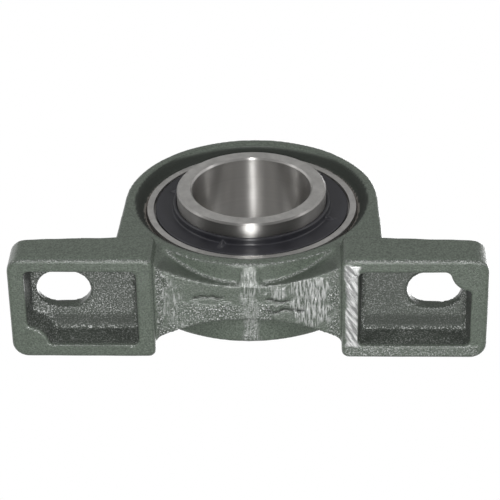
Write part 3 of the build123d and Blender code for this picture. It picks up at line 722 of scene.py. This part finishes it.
def blend_colour(tree, share, low, high):
    """Mix of two colours by a share."""
    node = tree.nodes.new("ShaderNodeMix")
    node.data_type = "RGBA"
    plug(tree, node.inputs["Factor"], share)
    for label, tone in (("A", low), ("B", high)):
        plug(tree, node.inputs[label], tone if isinstance(tone, bpy.types.NodeSocket) else (*tone, 1))
    return node.outputs["Result"]


def bump(tree, shader, height, distance):
    """Bump node from a height to the shader's normal; distance in mm."""
    node = tree.nodes.new("ShaderNodeBump")
    node.inputs["Distance"].default_value = distance * MM
    tree.links.new(height, node.inputs["Height"])
    tree.links.new(node.outputs["Normal"], shader.inputs["Normal"])


def shaded(colour_value, share):
    """A colour made darker or lighter by a share."""
    return tuple(min(1.0, part * share) for part in colour_value)


def casting_material(s):
    """Glossy enamel on iron: rough in the hollows and under the web, rubbed on one rim, bare in the seat,
    painted shade and glints.
    """
    made, tree, shader = material("painted_casting")
    zone = {name: attribute(tree, name) for name in PAINT_ZONES}
    rough_zones = ("crinkle", "sand", "ripple", "rubbed")
    skin = effect(tree, "Paint skin", **{name.title(): zone[name] for name in rough_zones})
    film = effect(tree, "Handling film", Size=70.0)["Film"]
    thick = greatest(tree, zone["crinkle"], zone["sand"], zone["ripple"])
    grain = spread(tree, skin["Grain"], 0.35, 0.65)
    tone = blend_colour(tree, grain, shaded(s.paint, 0.66), shaded(s.paint, 1.34))
    # colour of the crests: painted glints on the rough skin, light strokes of worn paint on the rubbed rim
    crest = blend_colour(tree, zone["rubbed"], s.painted_glint, s.worn)
    # layers: painted shade in the hollows, edges and mouths; darker paint on the rough skin, painted shade in
    # its creases; darker worn paint on the rubbed rim; the crests' colour; painted shade in the cold seams;
    # bare iron in the seat
    for share, over in ((product(tree, zone["dark"], 0.95), shaded(s.paint, 0.17)),
                        (product(tree, thick, 0.65), shaded(s.paint, 0.6)),
                        (zone["rubbed"], shaded(s.worn, 0.3)),
                        (skin["Crest"], crest),
                        (zone["seam"], shaded(s.paint, 0.12)),
                        (zone["seat"], s.iron)):
        tone = blend_colour(tree, share, tone, over)
    tree.links.new(tone, shader.inputs["Base Color"])
    smooth = spread(tree, film, 0, 1, 0.22, 0.28)
    gloss = spread(tree, greatest(tree, thick, zone["rubbed"]), 0.2, 0.7, smooth, 0.18)
    tree.links.new(greatest(tree, gloss, product(tree, zone["dark"], 0.85)), shader.inputs["Roughness"])
    # metal share where the crests take painted glints and on the rubbed rim
    glint_and_rub_metal = product(tree, greatest(tree, skin["Crest"], zone["rubbed"]), 0.5)
    tree.links.new(greatest(tree, zone["seat"], glint_and_rub_metal), shader.inputs["Metallic"])
    bump(tree, shader, skin["Height"], 1.0)
    return made


def radial_gloss(tree, shader, anisotropy):
    """Draws the gloss out across marks that run round the Y axis."""
    shader.inputs["Anisotropic"].default_value = anisotropy
    shader.inputs["Anisotropic Rotation"].default_value = 0.25
    tangent = tree.nodes.new("ShaderNodeTangent")
    tangent.direction_type = "RADIAL"
    tangent.axis = "Y"
    tree.links.new(tangent.outputs[0], shader.inputs["Tangent"])


def steel_material(name, tint, rough, anisotropy, mark_depth, contrast=0.1):
    """Turned or ground steel with marks round the shaft."""
    made, tree, shader = material(name)
    marks = effect(tree, "Turning marks", Pitch=9000.0)
    film = effect(tree, "Handling film", Size=90.0)["Film"]
    tone = blend_colour(tree, marks["Streak"], shaded(tint, 1 - contrast), shaded(tint, 1 + contrast))
    tree.links.new(tone, shader.inputs["Base Color"])
    tree.links.new(spread(tree, film, 0, 1, rough - 0.04, rough + 0.05), shader.inputs["Roughness"])
    shader.inputs["Metallic"].default_value = 1.0
    radial_gloss(tree, shader, anisotropy)
    bump(tree, shader, marks["Height"], mark_depth)
    return made


def plain_metal(name, tint, rough, grain=0.004):
    """Small metal parts with an even fine grain."""
    made, tree, shader = material(name)
    film = effect(tree, "Handling film", Size=300.0)["Film"]
    tone = blend_colour(tree, film, shaded(tint, 0.88), shaded(tint, 1.1))
    tree.links.new(tone, shader.inputs["Base Color"])
    tree.links.new(spread(tree, film, 0, 1, rough - 0.05, rough + 0.06), shader.inputs["Roughness"])
    shader.inputs["Metallic"].default_value = 1.0
    bump(tree, shader, noise(tree, object_place(tree), 5000.0, 3.0), grain)
    return made


def slinger_material(s):
    """Satin black finish on pressed steel, with faint marks round the shaft."""
    made, tree, shader = material("slinger_black")
    marks = effect(tree, "Turning marks", Pitch=4000.0)
    film = effect(tree, "Handling film", Size=110.0)["Film"]
    tone = blend_colour(tree, film, shaded(s.black, 0.8), shaded(s.black, 1.3))
    tree.links.new(tone, shader.inputs["Base Color"])
    tree.links.new(spread(tree, film, 0, 1, 0.30, 0.40), shader.inputs["Roughness"])
    radial_gloss(tree, shader, 0.85)
    bump(tree, shader, marks["Height"], 0.004)
    return made


def rubber_material(s):
    """Matt nitrile rubber."""
    made, tree, shader = material("seal_rubber")
    film = effect(tree, "Handling film", Size=200.0)["Film"]
    tree.links.new(blend_colour(tree, film, s.rubber, shaded(s.rubber, 1.5)), shader.inputs["Base Color"])
    tree.links.new(spread(tree, film, 0, 1, 0.6, 0.75), shader.inputs["Roughness"])
    bump(tree, shader, noise(tree, object_place(tree), 4000.0), 0.01)
    return made


def paint_slot(made, *names):
    """Gives the named objects one material."""
    for name in names:
        piece = bpy.data.objects[name]
        piece.data.materials.clear()
        piece.data.materials.append(made)


# ---------------------------------------------------------------- stage
def build_stage(s):
    """Camera, lamps, background, the cards that reflections see, and the floor."""
    scene = bpy.context.scene
    scene.view_settings.view_transform = "Standard"
    camera_data = bpy.data.cameras.new("camera")
    camera_data.sensor_width = 36
    camera_data.lens = s.lens
    camera = bpy.data.objects.new("camera", camera_data)
    back = -Vector(s.aim).normalized()
    right = Vector(s.level)
    right = (right - back * right.dot(back)).normalized()
    up = back.cross(right)
    turn = Matrix((right, up, back)).transposed().to_4x4()
    camera.matrix_world = Matrix.Translation(Vector(s.camera)) @ turn
    scene.collection.objects.link(camera)
    scene.camera = camera
    for name, place, size, setting in LAMPS:
        made = lamp(name, place, size, getattr(s, setting))
        made.visible_glossy = setting != "key"    # the key lamps leave no highlight of their own
    world(s)
    grey_card("card_below", (0, 0, -1), spread_angle=79, radius=1.6, brightness=s.card)
    grey_card("card_above", (0, -0.55, 0.84), spread_angle=38, radius=1.7, brightness=s.card_above * s.card)
    floor(s)


def lamp(name, place, size, watts):
    """Rectangular area lamp that faces the bearing."""
    data = bpy.data.lights.new(name, "AREA")
    data.shape = "RECTANGLE"
    data.size, data.size_y = size
    data.energy = watts
    made = bpy.data.objects.new(name, data)
    made.location = place
    made.rotation_euler = (-Vector(place)).to_track_quat("-Z", "Y").to_euler()
    bpy.context.scene.collection.objects.link(made)
    return made


def world(s):
    """White for the camera and in reflections, an even pale light for the rest."""
    made = bpy.data.worlds.new("studio")
    bpy.context.scene.world = made
    made.use_nodes = True
    tree = made.node_tree
    path = tree.nodes.new("ShaderNodeLightPath")
    rays = ("Is Camera Ray", "Is Glossy Ray", "Is Transmission Ray")
    seen = greatest(tree, *(path.outputs[ray] for ray in rays))
    strength = spread(tree, seen, 0, 1, s.sky, 1.0)
    background = tree.nodes["Background"]
    background.inputs["Color"].default_value = (1, 1, 1, 1)
    tree.links.new(strength, background.inputs["Strength"])


def stage_grid(name, points, faces, finish):
    """Stage object from points in metres and the faces of a polar grid, with its pole closed."""
    mesh = bpy.data.meshes.new(name)
    mesh.from_pydata(points, [], faces.tolist())
    mend_poles(mesh, closed=False)
    mesh.materials.append(finish)
    made = bpy.data.objects.new(name, mesh)
    bpy.context.scene.collection.objects.link(made)
    return made


def grey_card(name, towards, spread_angle, radius, brightness):
    """Card that only reflections see: a cap of a sphere round the part, a grid from its pole to its edge."""
    rows, columns = 16, 48
    polar = np.linspace(0, radians(spread_angle), rows)[:, None]
    angle = np.linspace(0, TAU, columns, endpoint=False)[None, :]
    cap = np.stack([np.sin(polar) * np.cos(angle), np.sin(polar) * np.sin(angle),
                    np.cos(polar) * np.ones_like(angle)], axis=-1).reshape(-1, 3)
    turn = np.array(Vector(towards).to_track_quat("Z", "Y").to_matrix())
    finish, _, shader = material(name)
    shader.inputs["Base Color"].default_value = (0, 0, 0, 1)
    shader.inputs["Specular IOR Level"].default_value = 0
    shader.inputs["Emission Color"].default_value = (1, 1, 1, 1)
    shader.inputs["Emission Strength"].default_value = brightness
    made = stage_grid(name, cap @ turn.T * radius, ring_faces(rows, columns), finish)
    for ray in ("camera", "diffuse", "transmission", "volume_scatter", "shadow"):
        setattr(made, "visible_" + ray, False)


def floor(s):
    """Flat disc just under the feet, a polar grid.

    The camera sees it from above only, and it fades out far off.
    """
    rings, columns = 12, 96
    radius = np.linspace(0, FLOOR_R, rings)[:, None]
    angle = np.linspace(0, TAU, columns, endpoint=False)[None, :]
    level = np.full((rings, columns), BASE_Z - FLOOR_GAP)
    flat = np.stack([radius * np.cos(angle), radius * np.sin(angle), level], axis=-1).reshape(-1, 3)
    finish, tree, shader = material("floor")
    shader.inputs["Base Color"].default_value = (*s.floor, 1)
    shader.inputs["Roughness"].default_value = 0.9
    path = tree.nodes.new("ShaderNodeLightPath")
    side = tree.nodes.new("ShaderNodeNewGeometry")
    far = tree.nodes.new("ShaderNodeVectorMath")
    far.operation = "LENGTH"
    tree.links.new(object_place(tree), far.inputs[0])
    near = spread(tree, far.outputs["Value"], *FLOOR_FADE, 1.0, 0.0)
    above = maths(tree, "SUBTRACT", 1.0, side.outputs["Backfacing"])
    shows = product(tree, product(tree, path.outputs["Is Camera Ray"], above), near)
    clear = tree.nodes.new("ShaderNodeBsdfTransparent")
    mix = tree.nodes.new("ShaderNodeMixShader")
    for socket, value in zip(mix.inputs, (shows, clear.outputs[0], shader.outputs[0])):
        tree.links.new(value, socket)
    tree.links.new(mix.outputs[0], tree.nodes["Material Output"].inputs["Surface"])
    stage_grid("floor", flat * MM, ring_faces(rings, columns)[:, ::-1], finish)


# ---------------------------------------------------------------- operators
class BLOCK_OT_casting(bpy.types.Operator):
    """Builds the painted casting over its frame node"""
    bl_idname = "pillow_block.casting"
    bl_label = "Casting"

    def execute(self, context):
        s = context.scene.pillow_casting
        build_casting(s)
        paint_slot(casting_material(s), "casting")
        return {"FINISHED"}


class BLOCK_OT_rings(bpy.types.Operator):
    """Finishes the ground inner and outer ring"""
    bl_idname = "pillow_block.rings"
    bl_label = "Rings"

    def execute(self, context):
        s = context.scene.pillow_insert
        turned = steel_material("bearing_steel", s.steel, rough=0.33, anisotropy=0.97, mark_depth=0.003)
        # the outside faces take a darker copy of the ring steel, painted shade
        outside = steel_material("bearing_steel_outside", shaded(s.steel, 0.70), rough=0.37, anisotropy=0.95,
                                 mark_depth=0.01, contrast=0.25)
        ground = plain_metal("bearing_steel_faces", s.face, 0.42, 0.001)
        for name in ("inner_ring", "outer_ring"):
            build_ring(name, turned, ground, outside)
        return {"FINISHED"}


class BLOCK_OT_balls(bpy.types.Operator):
    """Finishes the balls, the cage and its rivets"""
    bl_idname = "pillow_block.balls"
    bl_label = "Balls and cage"

    def execute(self, context):
        s = context.scene.pillow_insert
        balls = [node for node in NODES if node.startswith("ball_")]
        paint_slot(plain_metal("ball_steel", s.bright, 0.12, 0.001), *balls)
        cage = [node for node in NODES if node.startswith("cage_")]
        paint_slot(plain_metal("cage_steel", s.pressed, 0.34), *cage)
        return {"FINISHED"}


class BLOCK_OT_seals(bpy.types.Operator):
    """Finishes the seal cases and their rubber lips"""
    bl_idname = "pillow_block.seals"
    bl_label = "Seals"

    def execute(self, context):
        s = context.scene.pillow_insert
        sheet = steel_material("seal_steel", s.pressed, rough=0.36, anisotropy=0.3, mark_depth=0.008)
        paint_slot(sheet, "seal_case_front", "seal_case_rear")
        paint_slot(rubber_material(s), "seal_lip_front", "seal_lip_rear")
        return {"FINISHED"}


class BLOCK_OT_slingers(bpy.types.Operator):
    """Builds the two pressed slingers with their folds and darts"""
    bl_idname = "pillow_block.slingers"
    bl_label = "Slingers"

    def execute(self, context):
        s = context.scene.pillow_insert
        for name, side in (("slinger_front", -1), ("slinger_rear", 1)):
            build_slinger(s, name, side)
        paint_slot(slinger_material(s), "slinger_front_pressed", "slinger_rear_pressed")
        return {"FINISHED"}


class BLOCK_OT_set_screws(bpy.types.Operator):
    """Builds the threaded set screws with their sockets and cup points"""
    bl_idname = "pillow_block.set_screws"
    bl_label = "Set screws"

    def execute(self, context):
        s = context.scene.pillow_insert
        axes = {joint["name"]: np.array(joint["axis"], float) for joint in frame["joints"]}
        names = [node for node in NODES if node.startswith("set_screw_")]
        low, high = node_box("set_screw_1")
        full = (high - low) @ np.abs(axes["set_screw_1_travel"])
        for name in names:
            build_set_screw(s, name, axes[name + "_travel"], full)
        paint_slot(plain_metal("screw_black", s.oxide, 0.4), *[name + "_threaded" for name in names])
        return {"FINISHED"}


class BLOCK_OT_nipple(bpy.types.Operator):
    """Finishes the grease nipple, its check ball and its spring"""
    bl_idname = "pillow_block.nipple"
    bl_label = "Grease nipple"

    def execute(self, context):
        s = context.scene.pillow_insert
        paint_slot(plain_metal("plated_steel", s.plate, 0.28), "grease_nipple")
        paint_slot(plain_metal("spring_steel", s.bright, 0.16, 0.001), "nipple_ball", "nipple_spring")
        return {"FINISHED"}


class BLOCK_OT_stage(bpy.types.Operator):
    """Sets up the camera, the lamps, the background and the floor"""
    bl_idname = "pillow_block.stage"
    bl_label = "Stage"

    def execute(self, context):
        build_stage(context.scene.pillow_stage)
        return {"FINISHED"}


OPERATORS = (BLOCK_OT_casting, BLOCK_OT_rings, BLOCK_OT_balls, BLOCK_OT_seals, BLOCK_OT_slingers,
             BLOCK_OT_set_screws, BLOCK_OT_nipple, BLOCK_OT_stage)
SETTINGS = {"pillow_casting": CastingSettings, "pillow_insert": InsertSettings, "pillow_stage": StageSettings}


class BLOCK_PT_panel(bpy.types.Panel):
    """Lists the operators and the settings"""
    bl_idname = "BLOCK_PT_panel"
    bl_label = "Pillow block"
    bl_space_type = "VIEW_3D"
    bl_region_type = "UI"
    bl_category = "Pillow block"

    def draw(self, context):
        for operator in OPERATORS:
            self.layout.operator(operator.bl_idname)
        for name, settings in SETTINGS.items():
            box = self.layout.box()
            for key in settings.__annotations__:
                box.prop(getattr(context.scene, name), key)


def register():
    """Registers the settings, the operators and the panel."""
    for name, settings in SETTINGS.items():
        bpy.utils.register_class(settings)
        setattr(bpy.types.Scene, name, PointerProperty(type=settings))
    for item in (*OPERATORS, BLOCK_PT_panel):
        bpy.utils.register_class(item)


def unregister():
    """Takes them off again."""
    for item in (BLOCK_PT_panel, *reversed(OPERATORS)):
        bpy.utils.unregister_class(item)
    for name, settings in SETTINGS.items():
        delattr(bpy.types.Scene, name)
        bpy.utils.unregister_class(settings)


def main():
    """Builds everything in order."""
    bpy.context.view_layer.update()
    register()
    for operator in OPERATORS:
        group_name, action = operator.bl_idname.split(".")
        getattr(getattr(bpy.ops, group_name), action)()


if __name__ == "__main__":
    main()
